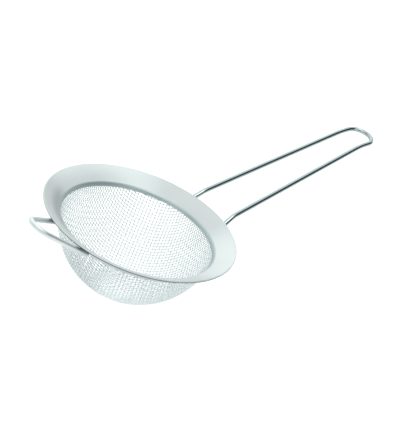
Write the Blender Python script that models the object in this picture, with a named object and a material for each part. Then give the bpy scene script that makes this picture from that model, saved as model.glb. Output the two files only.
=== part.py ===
"""Tea strainer: a funnel rim, a wire-cloth bowl clamped under it, a loop handle and a rest hook.

Lengths are in metres. The world origin is the centre of the bowl's flat foot, +Z runs up the
bowl's axis and +X points along the handle. Pieces are drawn from the rim's own centre, in the
plane of its outer edge, and an empty at that height carries them.
"""

import math

import bmesh
import bpy
from mathutils import Vector

MM = 0.001

# Rim
RIM_RADIUS = 45.0 * MM
HEM_RADIUS = 0.45 * MM
SHEET = 0.4 * MM
FLANGE_SLOPE = math.radians(24)
FLANGE_INNER_SLOPE = math.radians(36.3)
FLANGE_MIDDLE = 40.5 * MM
FLANGE_BEND = 30.0 * MM
LIP_SLOPE = math.radians(65)
LIP_RADIUS = 35.3 * MM
LIP_DROP = 6.5 * MM
LIP_BEND = 1.6 * MM

# Wire cloth, drawn as a thin shell
CLOTH = 0.4 * MM
CLAMPED_HEIGHT = 1.1 * MM
BOWL_RADIUS = 35.5 * MM
BOWL_DEPTH = 31.9 * MM
BOWL_FULLNESS = 1.75
SHOULDER_WIDTH = 0.7 * MM
SHOULDER_FADE = 2.0 * MM
FOOT_RADIUS = 5.0 * MM

# Clamp ring
RING_THICKNESS = 0.5 * MM
RING_HEIGHT = 1.6 * MM

# Handle and hook wire
WIRE_RADIUS = 1.2 * MM
FOOT_SLOPE = math.radians(24)
HANDLE_HALF_WIDTH = 11.5 * MM
HANDLE_FOOT_LENGTH = 5.0 * MM
HANDLE_HEM_SLOPE = math.radians(30)
HANDLE_ROOT = Vector((49.9, 10.7, 2.0)) * MM
HANDLE_NECK = Vector((137.1, 7.3, 32.3)) * MM
HANDLE_END_REACH = 14.0 * MM
HANDLE_END_SLOPE = math.radians(9)
ROOT_BEND = 9.0 * MM
NECK_BEND = 40.0 * MM
HEM_BEND = 5.0 * MM
HOOK_HALF_WIDTH = 10.5 * MM
HOOK_FOOT_LENGTH = 4.6 * MM
HOOK_REACH = 18.2 * MM
HOOK_END_HALF_WIDTH = 4.5 * MM
END_STRAIGHT = 0.02

# Welds
WELD_RADIUS = 0.55 * MM
WELD_LENGTH = 3.4 * MM

GAP = 0.3 * MM
TURN_STEPS = 72
BOWL_STEPS = 14
BEND_STEPS = 6
HEM_STEPS = 9
WIRE_RESOLUTION = 2
WELD_SEGMENTS = 12
WELD_RINGS = 8
SHARP_ANGLE = math.radians(40)


# ---------------------------------------------------------------- outlines

def rounded(corners):
    """A polyline through corners, each (point, bend radius); a radius of 0 keeps the point."""
    path = []
    for i, (point, radius) in enumerate(corners):
        if radius == 0:
            path.append(point.copy())
            continue
        back = (corners[i - 1][0] - point).normalized()
        ahead = (corners[i + 1][0] - point).normalized()
        half = back.angle(ahead) / 2
        centre = point + (back + ahead).normalized() * (radius / math.sin(half))
        start = point + back * (radius / math.tan(half)) - centre
        end = point + ahead * (radius / math.tan(half)) - centre
        sweep = math.pi - 2 * half
        for k in range(BEND_STEPS + 1):
            t = k / BEND_STEPS
            arm = start * math.sin((1 - t) * sweep) + end * math.sin(t * sweep)
            path.append(centre + arm / math.sin(sweep))
    return path


def beside(path, distance):
    """The path moved to its left by distance, mitred at each corner. Points are (radius, z)."""
    moved = []
    for i, point in enumerate(path):
        before = (path[i] - path[i - 1]).normalized() if i > 0 else None
        after = (path[i + 1] - path[i]).normalized() if i + 1 < len(path) else None
        before, after = before or after, after or before
        left = Vector((-before.y, before.x)) + Vector((-after.y, after.x))
        left.normalize()
        stretch = left.dot(Vector((-after.y, after.x)))
        moved.append(point + left * (distance / stretch))
    return moved


# ---------------------------------------------------------------- shared geometry of the rim

def slope_vector(angle):
    return Vector((math.cos(angle), math.sin(angle)))


def hem_centre():
    return Vector((RIM_RADIUS - HEM_RADIUS, -HEM_RADIUS))


def flange_top(radius):
    """Height of the flange's upper face, in its outer cone, at a distance from the axis."""
    along = slope_vector(FLANGE_SLOPE)
    touch = hem_centre() + Vector((-along.y, along.x)) * HEM_RADIUS
    return touch.y - (touch.x - radius) * math.tan(FLANGE_SLOPE)


def lip_line(height, offset):
    """Radius, at a height, of the line that runs beside the lip's inner face by offset."""
    inner = LIP_RADIUS + (height + LIP_DROP) / math.tan(LIP_SLOPE)
    return inner + offset / math.sin(LIP_SLOPE)


def rim_face():
    """The rim's upper face from the lip's lower edge out to the hem, steeper inside its middle."""
    fall = math.tan(FLANGE_INNER_SLOPE)
    rise = math.tan(LIP_SLOPE)
    middle = Vector((FLANGE_MIDDLE, flange_top(FLANGE_MIDDLE)))
    inner_cone = middle.y - middle.x * fall
    corner_radius = (inner_cone + LIP_DROP + LIP_RADIUS * rise) / (rise - fall)
    corner = Vector((corner_radius, inner_cone + corner_radius * fall))
    hem_touch = hem_centre().x - HEM_RADIUS * math.sin(FLANGE_SLOPE)
    lip_edge = Vector((LIP_RADIUS, -LIP_DROP))
    hem_edge = Vector((hem_touch, flange_top(hem_touch)))
    return rounded([(lip_edge, 0), (corner, LIP_BEND), (middle, FLANGE_BEND), (hem_edge, 0)])


def hem_outline():
    """The hem's round from the upper face, round the outside, to the sheet's under face."""
    first = FLANGE_SLOPE + math.pi / 2
    inner = math.asin((HEM_RADIUS - SHEET) / HEM_RADIUS)
    last = FLANGE_SLOPE + math.pi - inner - 2 * math.pi
    turn = last - first
    angles = [first + turn * k / HEM_STEPS for k in range(1, HEM_STEPS)]
    return [hem_centre() + slope_vector(a) * HEM_RADIUS for a in angles]


def cloth_offset():
    """Distance from the lip's inner face to the middle of the clamped cloth."""
    return SHEET + GAP + CLOTH / 2


def bowl_line():
    """The cloth's middle line from its clamped edge down to the axis."""
    top = CLAMPED_HEIGHT - LIP_DROP
    line = [Vector((lip_line(top, cloth_offset()), top))]
    last = math.acos(FOOT_RADIUS / BOWL_RADIUS)
    for k in range(BOWL_STEPS + 1):
        turn = last * k / BOWL_STEPS
        depth = BOWL_DEPTH * math.sin(turn) ** (2 / BOWL_FULLNESS)
        shoulder = SHOULDER_WIDTH * math.exp(-depth / SHOULDER_FADE)
        radius = BOWL_RADIUS * math.cos(turn) + shoulder
        line.append(Vector((radius, -LIP_DROP - CLOTH / 2 - depth)))
    return line + [Vector((0, line[-1].y))]


def rim_height():
    """Height of the rim's outer edge above the underside of the bowl's foot."""
    return CLOTH / 2 - bowl_line()[-1].y


# ---------------------------------------------------------------- shared geometry of the wires

def under_hem(half_width, slope):
    """Where a wire at half_width from the middle passes under the hem, clear of it."""
    reach = RIM_RADIUS - HEM_RADIUS
    forward = math.sqrt(reach ** 2 - half_width ** 2)
    drop = HEM_RADIUS + (HEM_RADIUS + GAP + WIRE_RADIUS) / math.cos(slope)
    return Vector((forward, half_width, -drop))


def end_bend(side, half_width):
    """The bend radius that rounds a loop's end, from one side of the loop to the other."""
    corner = side.angle(Vector((0, 1, 0)))
    return half_width * math.tan(corner / 2) * (1 - END_STRAIGHT)


def handle_half():
    """Corners of the handle's +Y half, from the end of its foot to the end of the loop."""
    hem = under_hem(HANDLE_HALF_WIDTH, HANDLE_HEM_SLOPE)
    spread = (HANDLE_HALF_WIDTH - HANDLE_ROOT.y) / (HANDLE_ROOT.x - hem.x)
    inward = Vector((-1, spread, -math.tan(FOOT_SLOPE))).normalized()
    foot = hem + inward * HANDLE_FOOT_LENGTH
    along = slope_vector(HANDLE_END_SLOPE)
    loop_side = Vector((along.x, 0, along.y)) * HANDLE_END_REACH
    grip = [(HANDLE_ROOT, ROOT_BEND), (HANDLE_NECK, NECK_BEND)]
    end = (HANDLE_NECK + loop_side, end_bend(loop_side, HANDLE_NECK.y))
    return [(foot, 0), (hem, HEM_BEND)] + grip + [end]


def hook_half():
    """Corners of the hook's +Y half, from the end of its foot to its round end, towards -X."""
    hem = under_hem(HOOK_HALF_WIDTH, FOOT_SLOPE)
    hem.x = -hem.x
    narrowing = HOOK_END_HALF_WIDTH - HOOK_HALF_WIDTH
    leg = Vector((-HOOK_REACH, narrowing, HOOK_REACH * math.tan(FOOT_SLOPE)))
    foot = hem - leg.normalized() * HOOK_FOOT_LENGTH
    return [(foot, 0), (hem + leg, end_bend(leg, HOOK_END_HALF_WIDTH))]


def flip(corners):
    """The corners on the other side of the middle plane, in reverse order."""
    return [(Vector((p.x, -p.y, p.z)), radius) for p, radius in reversed(corners)]


# ---------------------------------------------------------------- objects

def steel(name, color, roughness):
    material = bpy.data.materials.new(name)
    material.use_nodes = True
    shader = material.node_tree.nodes["Principled BSDF"]
    shader.inputs["Base Color"].default_value = (*color, 1)
    shader.inputs["Metallic"].default_value = 1
    shader.inputs["Roughness"].default_value = roughness
    material.diffuse_color = (*color, 1)
    return material


def place(name, data, material, parent):
    data.materials.append(material)
    piece = bpy.data.objects.new(name, data)
    bpy.context.collection.objects.link(piece)
    piece.parent = parent
    return piece


def shade(mesh):
    mesh.shade_smooth()
    mesh.set_sharp_from_angle(angle=SHARP_ANGLE)


def turned(name, outline, closed, material, parent):
    """A solid of revolution about Z from an outline of (radius, z) points."""
    bm = bmesh.new()
    verts = [bm.verts.new((p.x, 0, p.y)) for p in outline]
    edges = [bm.edges.new(pair) for pair in zip(verts, verts[1:])]
    if closed:
        edges.append(bm.edges.new((verts[-1], verts[0])))
    bmesh.ops.spin(bm, geom=verts + edges, cent=(0, 0, 0), axis=(0, 0, 1), dvec=(0, 0, 0),
                   angle=math.tau, steps=TURN_STEPS, use_merge=True, use_duplicate=False)
    bmesh.ops.remove_doubles(bm, verts=bm.verts, dist=0.001 * MM)
    bmesh.ops.recalc_face_normals(bm, faces=bm.faces)
    mesh = bpy.data.meshes.new(name)
    bm.to_mesh(mesh)
    bm.free()
    shade(mesh)
    return place(name, mesh, material, parent)


def bent_wire(name, half, material, parent):
    """A round wire along the half path and its mirror image, with flat ends."""
    path = rounded(half + flip(half))
    curve = bpy.data.curves.new(name, "CURVE")
    curve.dimensions = "3D"
    curve.render_resolution_u = 0
    curve.bevel_depth = WIRE_RADIUS
    curve.bevel_resolution = WIRE_RESOLUTION
    curve.use_fill_caps = True
    spline = curve.splines.new("POLY")
    spline.points.add(len(path) - 1)
    for point, position in zip(spline.points, path):
        point.co = (*position, 1)
    return place(name, curve, material, parent)


def weld(name, foot, hem, side, material, parent):
    """A bead in the groove between a wire's foot and the flange, on the inner side of the foot."""
    middle = (foot + hem) / 2
    middle.y *= side
    along = (hem - foot).normalized()
    along.y *= side
    outward = Vector((middle.x, middle.y, 0)).normalized()
    down = outward * math.sin(FLANGE_SLOPE) - Vector((0, 0, math.cos(FLANGE_SLOPE)))
    radius = math.hypot(middle.x, middle.y)
    below_sheet = (flange_top(radius) - middle.z) * math.cos(FLANGE_SLOPE) - SHEET
    lift = below_sheet - (WELD_RADIUS + GAP)
    reach = math.sqrt((WELD_RADIUS + WIRE_RADIUS + GAP) ** 2 - lift ** 2)
    across = along.cross(down).normalized()
    if across.y * side > 0:
        across = -across
    mesh = bpy.data.meshes.new(name)
    bm = bmesh.new()
    bmesh.ops.create_uvsphere(bm, u_segments=WELD_SEGMENTS, v_segments=WELD_RINGS,
                              radius=WELD_RADIUS)
    bmesh.ops.scale(bm, verts=bm.verts, vec=(1, 1, WELD_LENGTH / (2 * WELD_RADIUS)))
    bm.to_mesh(mesh)
    bm.free()
    shade(mesh)
    piece = place(name, mesh, material, parent)
    piece.location = middle + across * reach - down * lift
    piece.rotation_euler = along.to_track_quat("Z", "Y").to_euler()
    return piece


# ---------------------------------------------------------------- pieces

def build_rim(parent):
    satin = steel("satin_sheet", (0.78, 0.81, 0.81), 0.35)
    face = rim_face()
    outline = face + hem_outline() + beside(face, -SHEET)[::-1]
    return turned("rim_flange", outline, True, satin, parent)


def build_clamp_ring(parent):
    satin = steel("ring_steel", (0.72, 0.75, 0.75), 0.4)
    low = -LIP_DROP
    inner = SHEET + GAP + CLOTH + GAP
    line = [Vector((lip_line(z, 0), z)) for z in (low, low + RING_HEIGHT)]
    line = [p + Vector((inner / math.sin(LIP_SLOPE), 0)) for p in line]
    wide = Vector((RING_THICKNESS / math.sin(LIP_SLOPE), 0))
    outline = line + [p + wide for p in reversed(line)]
    return turned("mesh_clamp_ring", outline, True, satin, parent)


def build_bowl(parent):
    cloth = steel("wire_cloth", (0.80, 0.83, 0.83), 0.3)
    line = bowl_line()
    inner = beside(line, -CLOTH / 2)
    outer = beside(line, CLOTH / 2)
    return turned("mesh_bowl", inner[::-1] + outer, False, cloth, parent)


def build_wires(parent):
    bright = steel("drawn_wire", (0.82, 0.84, 0.84), 0.15)
    bent_wire("handle_wire", handle_half(), bright, parent)
    bent_wire("hook_wire", hook_half(), bright, parent)


def build_welds(parent):
    dull = steel("weld_metal", (0.45, 0.46, 0.46), 0.5)
    handle_foot, handle_hem = handle_half()[0][0], handle_half()[1][0]
    hook_foot = hook_half()[0][0]
    hook_leg = (hook_half()[1][0] - hook_foot).normalized()
    hook_hem = hook_foot + hook_leg * HOOK_FOOT_LENGTH
    for side, word in ((1, "left"), (-1, "right")):
        weld(f"handle_weld_{word}", handle_foot, handle_hem, side, dull, parent)
        weld(f"hook_weld_{word}", hook_foot, hook_hem, side, dull, parent)


def main():
    for old in list(bpy.data.objects):
        bpy.data.objects.remove(old)
    rim_centre = bpy.data.objects.new("rim_centre", None)
    bpy.context.collection.objects.link(rim_centre)
    rim_centre.location.z = rim_height()
    build_rim(rim_centre)
    build_clamp_ring(rim_centre)
    build_bowl(rim_centre)
    build_wires(rim_centre)
    build_welds(rim_centre)


main()
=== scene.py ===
import math

import bmesh
import bpy
import numpy as np
from mathutils import Matrix, Vector


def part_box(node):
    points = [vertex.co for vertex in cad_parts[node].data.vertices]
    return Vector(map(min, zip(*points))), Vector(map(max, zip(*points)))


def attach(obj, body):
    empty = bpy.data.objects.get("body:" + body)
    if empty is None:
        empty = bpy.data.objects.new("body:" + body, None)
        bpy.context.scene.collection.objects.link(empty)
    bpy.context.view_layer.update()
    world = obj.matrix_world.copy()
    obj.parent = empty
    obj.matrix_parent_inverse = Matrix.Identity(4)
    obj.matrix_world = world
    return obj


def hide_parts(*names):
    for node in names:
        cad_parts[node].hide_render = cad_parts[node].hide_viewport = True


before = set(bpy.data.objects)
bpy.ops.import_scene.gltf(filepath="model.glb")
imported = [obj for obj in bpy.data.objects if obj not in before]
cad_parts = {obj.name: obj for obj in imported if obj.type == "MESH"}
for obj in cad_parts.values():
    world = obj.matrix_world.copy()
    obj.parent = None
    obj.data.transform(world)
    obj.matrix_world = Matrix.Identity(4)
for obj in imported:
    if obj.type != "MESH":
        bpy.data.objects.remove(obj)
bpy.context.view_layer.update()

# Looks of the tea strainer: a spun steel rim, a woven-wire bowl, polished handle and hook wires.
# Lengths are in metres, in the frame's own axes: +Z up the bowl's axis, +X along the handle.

MM = 0.001
SAME_PLACE = 0.001 * MM
BODY = "root"

# ---------------------------------------------------------------- places taken from the frame

RIM_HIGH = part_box("rim_flange")[1]
RIM_RADIUS = RIM_HIGH.x
RIM_TOP = RIM_HIGH.z
HEM_RADIUS = 0.45 * MM
HANDLE_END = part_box("handle_wire")[1].x
HOOK_END = -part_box("hook_wire")[0].x

# Wires. Heights are above the rim's outer edge, and each corner is rounded with its own bend.
# END_FILL is the share of a loop's end that its two bends take up.
WIRE_RADIUS = 1.2 * MM
GAP = 0.3 * MM
FOOT_SLOPE = math.radians(24)
HEM_SLOPE = math.radians(30)
HANDLE_HALF_WIDTH = 11.5 * MM
HANDLE_FOOT = 5.0 * MM
HANDLE_ROOT = Vector((49.9, 10.7, 2.0)) * MM
NECK_HALF_WIDTH = 7.3 * MM
NECK_HEIGHT = 32.3 * MM
LOOP_LENGTH = 14.0 * MM
LOOP_SLOPE = math.radians(9)
HEM_BEND = 5 * MM
ROOT_BEND = 9 * MM
NECK_BEND = 40 * MM
HOOK_HALF_WIDTH = 10.5 * MM
HOOK_FOOT = 4.6 * MM
HOOK_END_HALF_WIDTH = 4.5 * MM
BEND_STEPS = 20
WIRE_SIDES = 28
END_ROUND = 0.25 * MM
END_FILL = 0.995

# Turned sheet pieces. LIP_EDGE is the radius where the flange turns down into the lip.
LIP_EDGE = 36.7 * MM
TURN_STEPS = 288
SOFT_EDGE = 0.1 * MM
TURNED_SHARP = math.radians(45)
BAR_SHARP = math.radians(60)

# Welds. A bead is stouter than its CAD solid, rippled, and tapered to a small flat at each end.
# The swell lets the dark bead, painted as shade, fill the wedge where a wire goes under the hem.
BEAD_SWELL = 1.45
BEAD_RIPPLE = 0.07
BEAD_RIPPLES = 16
BEAD_REACH = 0.995
BEAD_TAPER = 0.98
BEAD_STEPS = 41
BEAD_SIDES = 20

# Wire cloth, plain weave. A thread's wave keeps its full height for CREST of a pitch on either
# side of a crossing. The net of crossings runs past the clamped edge by SPARE_EDGE, and the
# threads are then cut at that edge.
WARP_PITCH = 1.63 * MM
WEFT_PITCH = 1.52 * MM
CLOTH_WIRE = 0.16 * MM
CLOTH_SIDES = 8
WEAVE_TURN = math.radians(38)
CREST = 0.2
SPARE_EDGE = 4.0 * MM

# Camera. Its place is given round the rim's centre, at which it looks, and it is then rolled,
# tilted and panned in its own frame.
CAMERA_DISTANCE = 442.2 * MM
CAMERA_AZIMUTH = -141.35
CAMERA_ELEVATION = 28.68
CAMERA_ROLL = math.radians(21.95)
CAMERA_TILT = math.radians(0.32)
CAMERA_PAN = math.radians(-3.30)
LENS = 84.5

# Light tent. The ribbon is a dark band of sky at a constant angle from the handle's own line.
HANDLE_LINE = (0, 21.5)
RIBBON_COSINE = 0.63
TENT_LEVEL = 1.34
TENT_WHITE = (0.965, 1.0, 0.995)
TENT_GAP = (0.03, 0.065, 0.075)
FLOOR_RADIUS = 6.0


# ---------------------------------------------------------------- outlines and paths

def section(node):
    """A turned CAD node's outline in the half plane y = 0, in order, as (radius, z) points."""
    bm = bmesh.new()
    bm.from_mesh(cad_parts[node].data)
    bmesh.ops.remove_doubles(bm, verts=bm.verts, dist=SAME_PLACE)
    cut = [v for v in bm.verts if abs(v.co.y) < SAME_PLACE and v.co.x > 0]
    here = min(cut, key=lambda v: (v.co.z, v.co.x))
    left = set(cut)
    outline = []
    while here:
        left.discard(here)
        outline.append(Vector((here.co.x, here.co.z)))
        others = [edge.other_vert(here) for edge in here.link_edges]
        here = next((v for v in others if v in left), None)
    bm.free()
    return outline


def soften(points, reach, closed, rounds=2):
    """The polyline with its corners cut in rounds, none further than reach from the corner."""
    for _ in range(rounds):
        cut = []
        for i, point in enumerate(points):
            if not closed and i in (0, len(points) - 1):
                cut.append(point)
                continue
            for other in (points[i - 1], points[(i + 1) % len(points)]):
                gap = other - point
                cut.append(point + gap * min(0.25, reach / gap.length))
        points = cut
    return points


def rounded(corners):
    """A polyline through corners, each (point, bend radius); a radius of 0 keeps the point."""
    path = []
    for i, (point, radius) in enumerate(corners):
        if radius == 0:
            path.append(point.copy())
            continue
        back = (corners[i - 1][0] - point).normalized()
        ahead = (corners[i + 1][0] - point).normalized()
        half = back.angle(ahead) / 2
        centre = point + (back + ahead).normalized() * (radius / math.sin(half))
        start = point + back * (radius / math.tan(half)) - centre
        end = point + ahead * (radius / math.tan(half)) - centre
        sweep = math.pi - 2 * half
        for k in range(BEND_STEPS + 1):
            t = k / BEND_STEPS
            arm = start * math.sin((1 - t) * sweep) + end * math.sin(t * sweep)
            path.append(centre + arm / math.sin(sweep))
    return path


def mirrored(half):
    """The corners of half, then those of its mirror image across the plane y = 0."""
    return half + [(Vector((p.x, -p.y, p.z)), bend) for p, bend in reversed(half)]


def end_bend(side, half_width):
    """The bend that rounds a loop's end, with hardly any straight between its two corners."""
    return half_width * math.tan(side.angle(Vector((0, 1, 0))) / 2) * END_FILL


def under_hem(half_width, slope):
    """Where a wire passes under the rim's hem, clear of it."""
    forward = math.sqrt((RIM_RADIUS - HEM_RADIUS) ** 2 - half_width ** 2)
    drop = HEM_RADIUS + (HEM_RADIUS + GAP + WIRE_RADIUS) / math.cos(slope)
    return Vector((forward, half_width, -drop))


def handle_corners():
    hem = under_hem(HANDLE_HALF_WIDTH, HEM_SLOPE)
    spread = (HANDLE_HALF_WIDTH - HANDLE_ROOT.y) / (HANDLE_ROOT.x - hem.x)
    inward = Vector((-1, spread, -math.tan(FOOT_SLOPE))).normalized()
    loop = Vector((math.cos(LOOP_SLOPE), 0, math.sin(LOOP_SLOPE))) * LOOP_LENGTH
    neck = Vector((HANDLE_END - WIRE_RADIUS - loop.x, NECK_HALF_WIDTH, NECK_HEIGHT))
    shank = [(HANDLE_ROOT, ROOT_BEND), (neck, NECK_BEND)]
    end = (neck + loop, end_bend(loop, NECK_HALF_WIDTH))
    return mirrored([(hem + inward * HANDLE_FOOT, 0), (hem, HEM_BEND)] + shank + [end])


def hook_corners():
    hem = under_hem(HOOK_HALF_WIDTH, FOOT_SLOPE)
    hem.x = -hem.x
    reach = HOOK_END - WIRE_RADIUS + hem.x
    leg = Vector((-reach, HOOK_END_HALF_WIDTH - HOOK_HALF_WIDTH, reach * math.tan(FOOT_SLOPE)))
    end = (hem + leg, end_bend(leg, HOOK_END_HALF_WIDTH))
    return mirrored([(hem - leg.normalized() * HOOK_FOOT, 0), end])


# ---------------------------------------------------------------- meshes

def swept(path, ups, radii, sides):
    """Vertices, faces and UVs (in metres along, turns around) of a round bar along path."""
    path = np.asarray(path, float)
    count = len(path)
    tangent = np.gradient(path, axis=0)
    tangent /= np.linalg.norm(tangent, axis=1)[:, None]
    across = np.cross(tangent, np.broadcast_to(ups, path.shape))
    across /= np.linalg.norm(across, axis=1)[:, None]
    up = np.cross(across, tangent)
    angle = np.arange(sides) * math.tau / sides
    round_ = across[:, None] * np.cos(angle)[:, None] + up[:, None] * np.sin(angle)[:, None]
    verts = path[:, None] + round_ * np.broadcast_to(radii, count)[:, None, None]
    ring = np.arange(count - 1)[:, None] * sides
    side = np.arange(sides)
    turn = (side + 1) % sides
    quads = np.stack([ring + side, ring + sides + side, ring + sides + turn, ring + turn], -1)
    run = np.concatenate([[0], np.cumsum(np.linalg.norm(np.diff(path, axis=0), axis=1))])
    v = np.stack([side, side, side + 1, side + 1], -1) / sides
    u = np.stack([run[:-1], run[1:], run[1:], run[:-1]], -1)
    shape = (count - 1, sides, 4)
    uvs = np.stack([np.broadcast_to(u[:, None], shape), np.broadcast_to(v, shape)], -1)
    caps = [list(range(sides)), [(count - 1) * sides + k for k in range(sides)][::-1]]
    return verts.reshape(-1, 3), quads.reshape(-1, 4), uvs.reshape(-1, 2), caps


def mesh_of_bars(name, bars):
    """One mesh from several swept bars, with their UVs in a layer named wire."""
    verts = []
    faces = []
    uvs = []
    base = 0
    for points, quads, quad_uvs, caps in bars:
        verts.append(points)
        faces += (quads + base).tolist() + [[k + base for k in cap] for cap in caps]
        uvs += [quad_uvs, np.zeros((sum(len(cap) for cap in caps), 2))]
        base += len(points)
    mesh = bpy.data.meshes.new(name)
    mesh.from_pydata(np.concatenate(verts).tolist(), [], faces)
    layer = mesh.uv_layers.new(name="wire")
    layer.uv.foreach_set("vector", np.concatenate(uvs).astype(np.float32).ravel())
    mesh.shade_smooth()
    mesh.set_sharp_from_angle(angle=BAR_SHARP)
    return mesh


def piece(name, mesh, material, node):
    """Puts a finished mesh in the scene in place of a CAD node."""
    mesh.materials.append(material)
    made = bpy.data.objects.new(name, mesh)
    bpy.context.scene.collection.objects.link(made)
    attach(made, BODY)
    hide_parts(node)
    return made


def turned(name, outline, closed):
    """A mesh turned about Z from an outline of (radius, z) points."""
    bm = bmesh.new()
    verts = [bm.verts.new((p.x, 0, p.y)) for p in outline]
    edges = [bm.edges.new(pair) for pair in zip(verts, verts[1:])]
    if closed:
        edges.append(bm.edges.new((verts[-1], verts[0])))
    bmesh.ops.spin(bm, geom=verts + edges, cent=(0, 0, 0), axis=(0, 0, 1), dvec=(0, 0, 0),
                   angle=math.tau, steps=TURN_STEPS, use_merge=True, use_duplicate=False)
    bmesh.ops.remove_doubles(bm, verts=bm.verts, dist=SAME_PLACE / 2)
    bmesh.ops.recalc_face_normals(bm, faces=bm.faces)
    mesh = bpy.data.meshes.new(name)
    bm.to_mesh(mesh)
    bm.free()
    mesh.shade_smooth()
    mesh.set_sharp_from_angle(angle=TURNED_SHARP)
    return mesh


# ---------------------------------------------------------------- woven cloth

class BowlSurface:
    """The cloth's middle surface: a profile turned about Z, from the axis to the clamped edge."""

    def __init__(self):
        skin = section("mesh_bowl")
        half = len(skin) // 2
        line = [(skin[k] + skin[-1 - k]) / 2 for k in range(half)]
        self.edge = line[-1].y
        self.foot = line[0].y
        beyond = line[-1] + (line[-1] - line[-2]).normalized() * SPARE_EDGE
        line = [Vector((0, self.foot))] + line + [beyond]
        self.points = np.array(soften(line, SPARE_EDGE, False, 3))
        self.steps = np.diff(self.points, axis=0)

    def nearest(self, point):
        """A 3-D point's signed distance outwards from the surface, the outward normal there,
        and the height of the surface's nearest point."""
        radius = math.hypot(point[0], point[1])
        spot = np.array([radius, point[2]])
        gap = spot - self.points[:-1]
        share = (gap * self.steps).sum(1) / (self.steps ** 2).sum(1)
        share = np.clip(share, 0, 1)
        away = gap - share[:, None] * self.steps
        k = int((away ** 2).sum(1).argmin())
        out = np.array([self.steps[k][1], -self.steps[k][0]])
        out /= np.linalg.norm(out)
        turn = point[:2] / max(radius, 1e-9)
        normal = np.array([turn[0] * out[0], turn[1] * out[0], out[1]])
        return float(away[k] @ out), normal, self.points[k, 1] + share[k] * self.steps[k][1]


def axis_nodes(surface, pitch):
    """Cloth crossings along one thread that runs from the foot's centre straight up the bowl."""
    line = surface.points
    run = np.concatenate([[0], np.cumsum(np.linalg.norm(np.diff(line, axis=0), axis=1))])
    stops = np.arange(0, run[-1], pitch)
    return np.stack([np.interp(stops, run, line[:, 0]), np.interp(stops, run, line[:, 1])], 1)


def crossing(surface, a, b, c):
    """The crossing on the surface a weft pitch from a and a warp pitch from b, away from c."""
    apart = b - a
    width = np.linalg.norm(apart)
    along = (WEFT_PITCH ** 2 - WARP_PITCH ** 2 + width ** 2) / (2 * width)
    if abs(along) >= WEFT_PITCH:
        return None
    foot = a + apart * along / width
    reach = math.sqrt(WEFT_PITCH ** 2 - along ** 2)
    ahead = foot - c
    ahead -= apart * (ahead @ apart) / (apart @ apart)
    ahead /= np.linalg.norm(ahead)
    out = np.cross(apart, ahead)
    out /= np.linalg.norm(out)
    if out @ surface.nearest(foot)[1] < 0:
        out = -out
    lift = 0.0
    for _ in range(6):
        spot = foot + reach * (math.cos(lift) * ahead + math.sin(lift) * out)
        lift -= surface.nearest(spot)[0] / reach
    return spot


def quarter_net(surface):
    """Crossings of a cloth pressed into the bowl without stretch, in the quarter x, y >= 0."""
    net = {}
    for i, (radius, z) in enumerate(axis_nodes(surface, WEFT_PITCH)):
        net[i, 0] = np.array([radius, 0, z])
    for j, (radius, z) in enumerate(axis_nodes(surface, WARP_PITCH)):
        net[0, j] = np.array([0, radius, z])
    reach = max(i for i, j in net) + 1
    for i in range(1, reach):
        for j in range(1, reach):
            corners = [net.get(key) for key in ((i - 1, j), (i, j - 1), (i - 1, j - 1))]
            if any(corner is None for corner in corners):
                break
            spot = crossing(surface, *corners)
            if spot is None or surface.nearest(spot)[2] >= surface.points[-2, 1]:
                break
            net[i, j] = spot
    return net


def thread(surface, net, fixed, is_warp):
    """Points and normals of one cloth wire, wave and all, cut off at the clamped edge."""
    keys = [key if is_warp else key[::-1] for key in net]
    last = max((i for i, j in keys if j == abs(fixed)), default=0)
    if last == 0:
        return None
    points = []
    normals = []
    for k in range(-last, last + 1):
        node = (abs(k), abs(fixed)) if is_warp else (abs(fixed), abs(k))
        sides = (k, fixed) if is_warp else (fixed, k)
        x, y, z = net[node]
        spot = np.array([math.copysign(x, sides[0]), math.copysign(y, sides[1]), z])
        points.append(spot)
        normals.append(surface.nearest(spot)[1])
    side = 1 if is_warp else -1
    wave = side * CLOTH_WIRE * (-1.0) ** (np.arange(-last, last + 1) + fixed)
    path = []
    ups = []
    for k in range(len(points) - 1):
        for share, height in ((CREST, wave[k]), (1 - CREST, wave[k + 1])):
            normal = normals[k] * (1 - share) + normals[k + 1] * share
            path.append(points[k] * (1 - share) + points[k + 1] * share + normal * height)
            ups.append(normal)
    path = np.array(path)
    inside = np.flatnonzero(path[:, 2] < surface.edge)
    if len(inside) < 4:
        return None
    keep = slice(inside[0], inside[-1] + 1)
    return path[keep], np.array(ups)[keep]


def build_cloth(material):
    surface = BowlSurface()
    net = quarter_net(surface)
    reach = max(max(key) for key in net)
    turn = np.array(Matrix.Rotation(WEAVE_TURN, 3, "Z"))
    for name, is_warp in (("cloth_warp", True), ("cloth_weft", False)):
        bars = []
        for fixed in range(-reach, reach + 1):
            found = thread(surface, net, fixed, is_warp)
            if found:
                path, ups = found
                bars.append(swept(path @ turn.T, ups @ turn.T, CLOTH_WIRE, CLOTH_SIDES))
        piece(name, mesh_of_bars(name, bars), material, "mesh_bowl")


# ---------------------------------------------------------------- steel pieces

def build_rim(material):
    outline = soften(section("rim_flange"), SOFT_EDGE, True)
    piece("rim", turned("rim", outline, True), material, "rim_flange")


def build_clamp_ring(material):
    outline = soften(section("mesh_clamp_ring"), SOFT_EDGE, True)
    made = turned("clamp_ring", outline, True)
    piece("clamp_ring", made, material, "mesh_clamp_ring")


def build_wire(name, corners, material, node):
    path = [Vector((p.x, p.y, p.z + RIM_TOP)) for p in rounded(corners)]
    radii = [WIRE_RADIUS] * len(path)
    for end, inner in ((0, 1), (-1, -2)):
        back = (path[end] - path[inner]).normalized() * END_ROUND
        path.insert(1 if end == 0 else len(path) - 1, path[end] - back)
        radii.append(WIRE_RADIUS)
    radii[0] = radii[-1] = WIRE_RADIUS - END_ROUND
    bar = swept([tuple(p) for p in path], (0, 0, 1), radii, WIRE_SIDES)
    piece(name, mesh_of_bars(name, [bar]), material, node)


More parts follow.
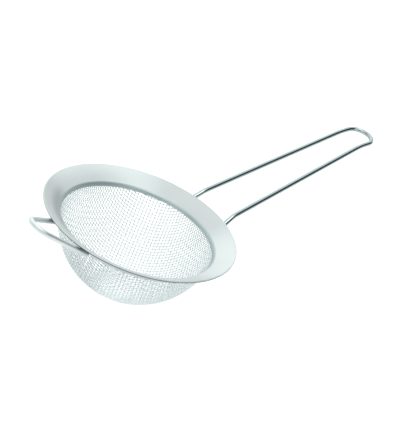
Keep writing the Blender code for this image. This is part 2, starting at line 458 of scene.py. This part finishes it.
def build_weld(name, material):
    """A bead laid along the wire's foot: a long drop with the ripples of its cooling."""
    points = np.array([v.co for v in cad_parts[name].data.vertices])
    centre = (points.min(0) + points.max(0)) / 2
    axis = np.linalg.svd(points - centre, full_matrices=False)[2][0]
    reach = np.abs((points - centre) @ axis).max()
    radius = np.linalg.norm(np.cross(points - centre, axis), axis=1).max()
    turn = np.linspace(-math.pi / 2, math.pi / 2, BEAD_STEPS)
    along = np.sin(turn) * reach * BEAD_REACH
    ripple = 1 + BEAD_RIPPLE * np.cos(along / reach * BEAD_RIPPLES)
    radii = radius * BEAD_SWELL * np.cos(turn * BEAD_TAPER) * ripple
    bar = swept(centre + along[:, None] * axis, (0, 0, 1), radii, BEAD_SIDES)
    piece(f"{name}_bead", mesh_of_bars(name, [bar]), material, name)


# ---------------------------------------------------------------- materials

def add(tree, kind, values=None, **settings):
    """Adds a node, with its inputs set to values or linked to sockets, and returns it."""
    made = tree.nodes.new("ShaderNode" + kind)
    for key, value in settings.items():
        setattr(made, key, value)
    for key, value in (values or {}).items():
        if isinstance(value, bpy.types.NodeSocket):
            tree.links.new(value, made.inputs[key])
        else:
            made.inputs[key].default_value = value
    return made


def math_node(tree, operation, a, b=0.0):
    return add(tree, "Math", {0: a, 1: b}, operation=operation).outputs[0]


def span(tree, value, low, high):
    """Maps a 0 to 1 value onto low to high."""
    return add(tree, "MapRange", {"Value": value, "To Min": low, "To Max": high}).outputs[0]


def fade(tree, value, start, end, low, high):
    """A soft step from low to high as value goes from start to end."""
    values = {"Value": value, "From Min": start, "From Max": end, "To Min": low, "To Max": high}
    return add(tree, "MapRange", values, interpolation_type="SMOOTHSTEP").outputs[0]


def tint(tree, value, dark, light):
    mix = add(tree, "Mix", {0: value, 6: (*dark, 1), 7: (*light, 1)}, data_type="RGBA")
    return mix.outputs[2]


def blend(tree, share, first, second):
    mix = add(tree, "Mix", {0: share, 6: first, 7: second}, data_type="RGBA")
    return mix.outputs[2]


def metal(name, finish, metallic=1.0):
    """A metallic material; finish fills in its tree and returns colour, roughness and bump."""
    material = bpy.data.materials.new(name)
    material.use_nodes = True
    tree = material.node_tree
    shader = tree.nodes["Principled BSDF"]
    shader.inputs["Metallic"].default_value = metallic
    color, roughness, height, depth = finish(tree)
    bump = add(tree, "Bump", {"Height": height, "Distance": depth, "Strength": 1.0})
    tree.links.new(color, shader.inputs["Base Color"])
    tree.links.new(roughness, shader.inputs["Roughness"])
    tree.links.new(bump.outputs[0], shader.inputs["Normal"])
    return material


def noise(tree, vector, scale, detail=3.0, roughness=0.5):
    values = {"Vector": vector, "Scale": scale, "Detail": detail, "Roughness": roughness}
    return add(tree, "TexNoise", values).outputs[0]


def polar(tree, around):
    """(radius, height, angle) coordinates in metres, the angle scaled to run slowly."""
    spot = add(tree, "TexCoord").outputs["Object"]
    parts = add(tree, "SeparateXYZ", {0: spot}).outputs
    angle = math_node(tree, "ARCTAN2", parts[1], parts[0])
    flat = add(tree, "CombineXYZ", {0: parts[0], 1: parts[1]}).outputs[0]
    radius = add(tree, "VectorMath", {0: flat}, operation="LENGTH").outputs["Value"]
    turn = math_node(tree, "MULTIPLY", angle, around)
    return add(tree, "CombineXYZ", {0: radius, 1: parts[2], 2: turn}).outputs[0]


def painted_sheen_and_shade(tree, place, radius):
    """How light the flange is, painted by azimuth: two brighter stretches of painted sheen, and
    one of painted shade darker towards the lip.

    A stretch is centred on an azimuth in degrees, and its reach is a cosine from that middle.
    """
    flat = add(tree, "VectorMath", {0: place, 1: (1, 1, 0)}, operation="MULTIPLY").outputs[0]
    turn = add(tree, "VectorMath", {0: flat}, operation="NORMALIZE").outputs[0]

    def stretch(azimuth, reach, gain):
        values = {0: turn, 1: tuple(direction(azimuth, 0))}
        near = add(tree, "VectorMath", values, operation="DOT_PRODUCT").outputs["Value"]
        return fade(tree, near, reach, 0.97, 0.0, gain)

    # painted shade: near azimuth 152 the inner flange is painted darker towards the lip
    by_lip = fade(tree, radius, RIM_RADIUS - 3 * MM, LIP_EDGE + 1.5 * MM, 0.0, 1.0)
    light = math_node(tree, "MULTIPLY", stretch(152, 0.82, -0.2), by_lip)
    # painted sheen: brighter stretches painted round azimuths 80 and 305
    light = math_node(tree, "ADD", light, stretch(80, 0.6, 0.32))
    light = math_node(tree, "ADD", light, stretch(305, 0.75, 0.16))
    return math_node(tree, "ADD", light, 0.86)


def spun_finish(tree):
    """Spun sheet: fine rings round the axis, painted sheen and shade round the flange, painted
    shade on the lip, a painted dark line under the hem, painted shade on faces turned down.
    """
    place = polar(tree, 0.0012)
    rings = noise(tree, place, 9000, 2)
    coords = add(tree, "TexCoord").outputs
    clouds = noise(tree, coords["Object"], 60, 3)
    radius = add(tree, "SeparateXYZ", {0: place}).outputs[0]
    facing = add(tree, "SeparateXYZ", {0: coords["Normal"]}).outputs[2]
    flange = fade(tree, radius, LIP_EDGE - 0.4 * MM, LIP_EDGE + 0.1 * MM, 0.0, 1.0)
    face = fade(tree, facing, -0.35, 0.35, 0.0, 1.0)
    outer = fade(tree, radius, RIM_RADIUS - 0.7 * MM, RIM_RADIUS - 0.4 * MM, 0.0, 1.0)
    hem_shade = math_node(tree, "MULTIPLY", outer, fade(tree, facing, -0.1, 0.5, 1.0, 0.0))
    sheet = tint(tree, clouds, (0.60, 0.635, 0.635), (0.655, 0.69, 0.685))
    shades = {0: sheet, 3: painted_sheen_and_shade(tree, coords["Object"], radius)}
    sheet = add(tree, "VectorMath", shades, operation="SCALE").outputs[0]
    # painted shade: the lip, where the flange turns down into the bowl, is painted darker
    sheet = blend(tree, flange, (0.40, 0.47, 0.475, 1), sheet)
    # painted shade: faces turned down are painted darker
    color = blend(tree, face, (0.22, 0.265, 0.27, 1), sheet)
    # painted shade: a dark line painted on the lower outer quarter of the hem
    color = blend(tree, hem_shade, color, (0.06, 0.10, 0.11, 1))
    blur = math_node(tree, "ADD", span(tree, rings, -0.05, 0.05), span(tree, flange, 0.44, 0.6))
    return color, blur, rings, 0.0015 * MM


def ring_finish(tree):
    rings = noise(tree, polar(tree, 0.002), 6000, 2)
    clouds = noise(tree, add(tree, "TexCoord").outputs["Object"], 150, 3)
    color = tint(tree, clouds, (0.38, 0.42, 0.42), (0.48, 0.52, 0.52))
    return color, span(tree, rings, 0.26, 0.42), rings, 0.002 * MM


def drawn_finish(tree, dark, light, satin):
    """Drawn wire, polished or more satin: faint die lines along it and a soft haze."""
    spot = add(tree, "UVMap", uv_map="wire").outputs[0]
    lines = add(tree, "Mapping", {"Vector": spot, "Scale": (60, 12, 1)}).outputs[0]
    lines = noise(tree, lines, 4, 4, 0.6)
    haze = noise(tree, add(tree, "TexCoord").outputs["Object"], 90, 3)
    haze_blur = span(tree, haze, satin, satin + 0.07)
    blur = math_node(tree, "ADD", span(tree, lines, 0.0, 0.06), haze_blur)
    return tint(tree, haze, dark, light), blur, lines, 0.004 * MM


def handle_finish(tree):
    return drawn_finish(tree, (0.33, 0.385, 0.39), (0.38, 0.435, 0.44), 0.03)


def hook_finish(tree):
    return drawn_finish(tree, (0.60, 0.64, 0.64), (0.66, 0.70, 0.70), 0.42)


def cloth_finish(tree):
    haze = noise(tree, add(tree, "TexCoord").outputs["Object"], 700, 2)
    color = tint(tree, haze, (0.60, 0.65, 0.65), (0.70, 0.75, 0.75))
    return color, span(tree, haze, 0.18, 0.30), haze, 0.004 * MM


def weld_and_shade_finish(tree):
    """Fused metal, slightly blue from its heat and painted dark as shade where the wire goes
    under the hem, with duller and lighter specks.
    """
    spots = noise(tree, add(tree, "TexCoord").outputs["Object"], 900, 4, 0.65)
    # painted shade: the near-black colour stands in for the shadow where the wire goes under the
    # hem
    color = tint(tree, spots, (0.02, 0.045, 0.055), (0.09, 0.115, 0.12))
    return color, span(tree, spots, 0.35, 0.6), spots, 0.03 * MM


# ---------------------------------------------------------------- stage

def floor_material():
    """Pale matt card that glows evenly to the camera; in reflections its glow is painted light,
    brighter under the strainer and dimmer farther out.
    """
    material = bpy.data.materials.new("pale_card")
    material.use_nodes = True
    tree = material.node_tree
    shader = tree.nodes["Principled BSDF"]
    shader.inputs["Roughness"].default_value = 0.9
    shader.inputs["Specular IOR Level"].default_value = 0.1
    shader.inputs["Emission Color"].default_value = (1, 1, 1, 1)
    place = add(tree, "TexCoord").outputs["Object"]
    away = add(tree, "VectorMath", {0: place}, operation="LENGTH").outputs["Value"]
    seen = add(tree, "LightPath").outputs["Is Camera Ray"]
    unseen = math_node(tree, "SUBTRACT", 1.0, seen)
    # painted light and shade seen only in reflections: brighter within about 0.1 m of the
    # strainer, dimmer beyond
    reflected_glow = math_node(tree, "MULTIPLY", unseen, fade(tree, away, 0.085, 0.115, 0.15, -0.1))
    card = tint(tree, noise(tree, place, 30, 2), (0.56, 0.57, 0.57), (0.58, 0.59, 0.59))
    tree.links.new(card, shader.inputs["Base Color"])
    tree.links.new(math_node(tree, "ADD", reflected_glow, 0.6), shader.inputs["Emission Strength"])
    return material


def build_floor():
    bm = bmesh.new()
    bmesh.ops.create_circle(bm, cap_ends=True, segments=96, radius=FLOOR_RADIUS)
    mesh = bpy.data.meshes.new("floor")
    bm.to_mesh(mesh)
    bm.free()
    mesh.materials.append(floor_material())
    floor = bpy.data.objects.new("floor", mesh)
    bpy.context.scene.collection.objects.link(floor)


def direction(azimuth, elevation):
    """The unit vector at an azimuth and elevation in degrees."""
    azimuth, elevation = math.radians(azimuth), math.radians(elevation)
    level = math.cos(elevation)
    return Vector((level * math.cos(azimuth), level * math.sin(azimuth), math.sin(elevation)))


def build_sky():
    """A white light tent, brighter overhead, with dark gaps that draw lines along the wires.

    Each gap is a patch of the sky round a direction, given as azimuth and elevation in degrees.
    """
    world = bpy.data.worlds.new("tent")
    bpy.context.scene.world = world
    world.use_nodes = True
    tree = world.node_tree
    look = add(tree, "TexCoord").outputs["Generated"]
    height = add(tree, "SeparateXYZ", {0: look}).outputs[2]

    def nearness(azimuth, elevation):
        values = {0: look, 1: tuple(direction(azimuth, elevation))}
        return add(tree, "VectorMath", values, operation="DOT_PRODUCT").outputs["Value"]

    def spot(azimuth, elevation, outer, inner, depth):
        """A round patch: depth within inner degrees of its middle, nothing beyond outer."""
        edges = [math.cos(math.radians(angle)) for angle in (outer, inner)]
        return fade(tree, nearness(azimuth, elevation), *edges, 0, depth)

    def both(first, second):
        return math_node(tree, "MULTIPLY", first, second)

    off_line = math_node(tree, "SUBTRACT", nearness(*HANDLE_LINE), RIBBON_COSINE)
    ribbon = fade(tree, math_node(tree, "ABSOLUTE", off_line), 0.07, 0.14, 1.0, 0.0)
    ribbon = both(ribbon, spot(-38, 62, 26, 12, 0.75))
    band = both(fade(tree, height, 0.05, 0.22, 0, 1), fade(tree, height, 0.82, 0.93, 1, 0))
    wall = both(band, spot(-56, 32, 45, 30, 1))
    far_edge = both(fade(tree, height, 0.06, 0.2, 0.6, 0), spot(20, 0, 60, 40, 1))
    opening = spot(-141, 27, 24, 14, 0.9)
    left_gap = spot(150, 20, 24, 12, 0.7)
    right_gap = spot(16, 34, 18, 6, 0.4)
    dark = ribbon
    for patch in (wall, far_edge, opening, left_gap, right_gap):
        dark = math_node(tree, "MAXIMUM", dark, patch)
    bright = math_node(tree, "ADD", spot(-10, 80, 40, 15, 0.25), spot(55, 20, 50, 20, 0.3))
    bright = math_node(tree, "ADD", bright, TENT_LEVEL)
    values = {0: TENT_WHITE, 3: bright}
    white = add(tree, "VectorMath", values, operation="SCALE").outputs[0]
    back = tree.nodes["Background"]
    tree.links.new(blend(tree, dark, white, (*TENT_GAP, 1)), back.inputs["Color"])


def build_light(name, azimuth, elevation, distance, size, power):
    light = bpy.data.lights.new(name, "AREA")
    light.shape = "DISK"
    light.size = size
    light.energy = power
    lamp = bpy.data.objects.new(name, light)
    towards = direction(azimuth, elevation)
    lamp.location = towards * distance
    lamp.rotation_euler = towards.to_track_quat("Z", "Y").to_euler()
    bpy.context.scene.collection.objects.link(lamp)


def build_camera():
    camera = bpy.data.cameras.new("camera")
    camera.lens = LENS
    camera.clip_start = 0.01
    camera.clip_end = 50
    eye = bpy.data.objects.new("camera", camera)
    away = direction(CAMERA_AZIMUTH, CAMERA_ELEVATION)
    place = Matrix.Translation(Vector((0, 0, RIM_TOP)) + away * CAMERA_DISTANCE)
    aim = away.to_track_quat("Z", "Y").to_matrix().to_4x4()
    roll = Matrix.Rotation(CAMERA_ROLL, 4, "Z")
    tilt = Matrix.Rotation(CAMERA_TILT, 4, "X")
    pan = Matrix.Rotation(CAMERA_PAN, 4, "Y")
    eye.matrix_world = place @ aim @ roll @ tilt @ pan
    bpy.context.scene.collection.objects.link(eye)
    bpy.context.scene.camera = eye


def main():
    build_rim(metal("satin_steel", spun_finish, 0.55))
    build_clamp_ring(metal("ring_steel", ring_finish))
    build_wire("handle", handle_corners(), metal("handle_steel", handle_finish), "handle_wire")
    build_wire("rest_hook", hook_corners(), metal("hook_steel", hook_finish), "hook_wire")
    fused = metal("weld_metal", weld_and_shade_finish)
    for where in ("handle_weld", "hook_weld"):
        for hand in ("left", "right"):
            build_weld(f"{where}_{hand}", fused)
    build_cloth(metal("woven_steel", cloth_finish))
    build_floor()
    build_sky()
    build_light("key", -140, 76, 0.9, 0.4, 1.0)
    build_camera()
    bpy.context.scene.view_settings.view_transform = "Standard"


main()
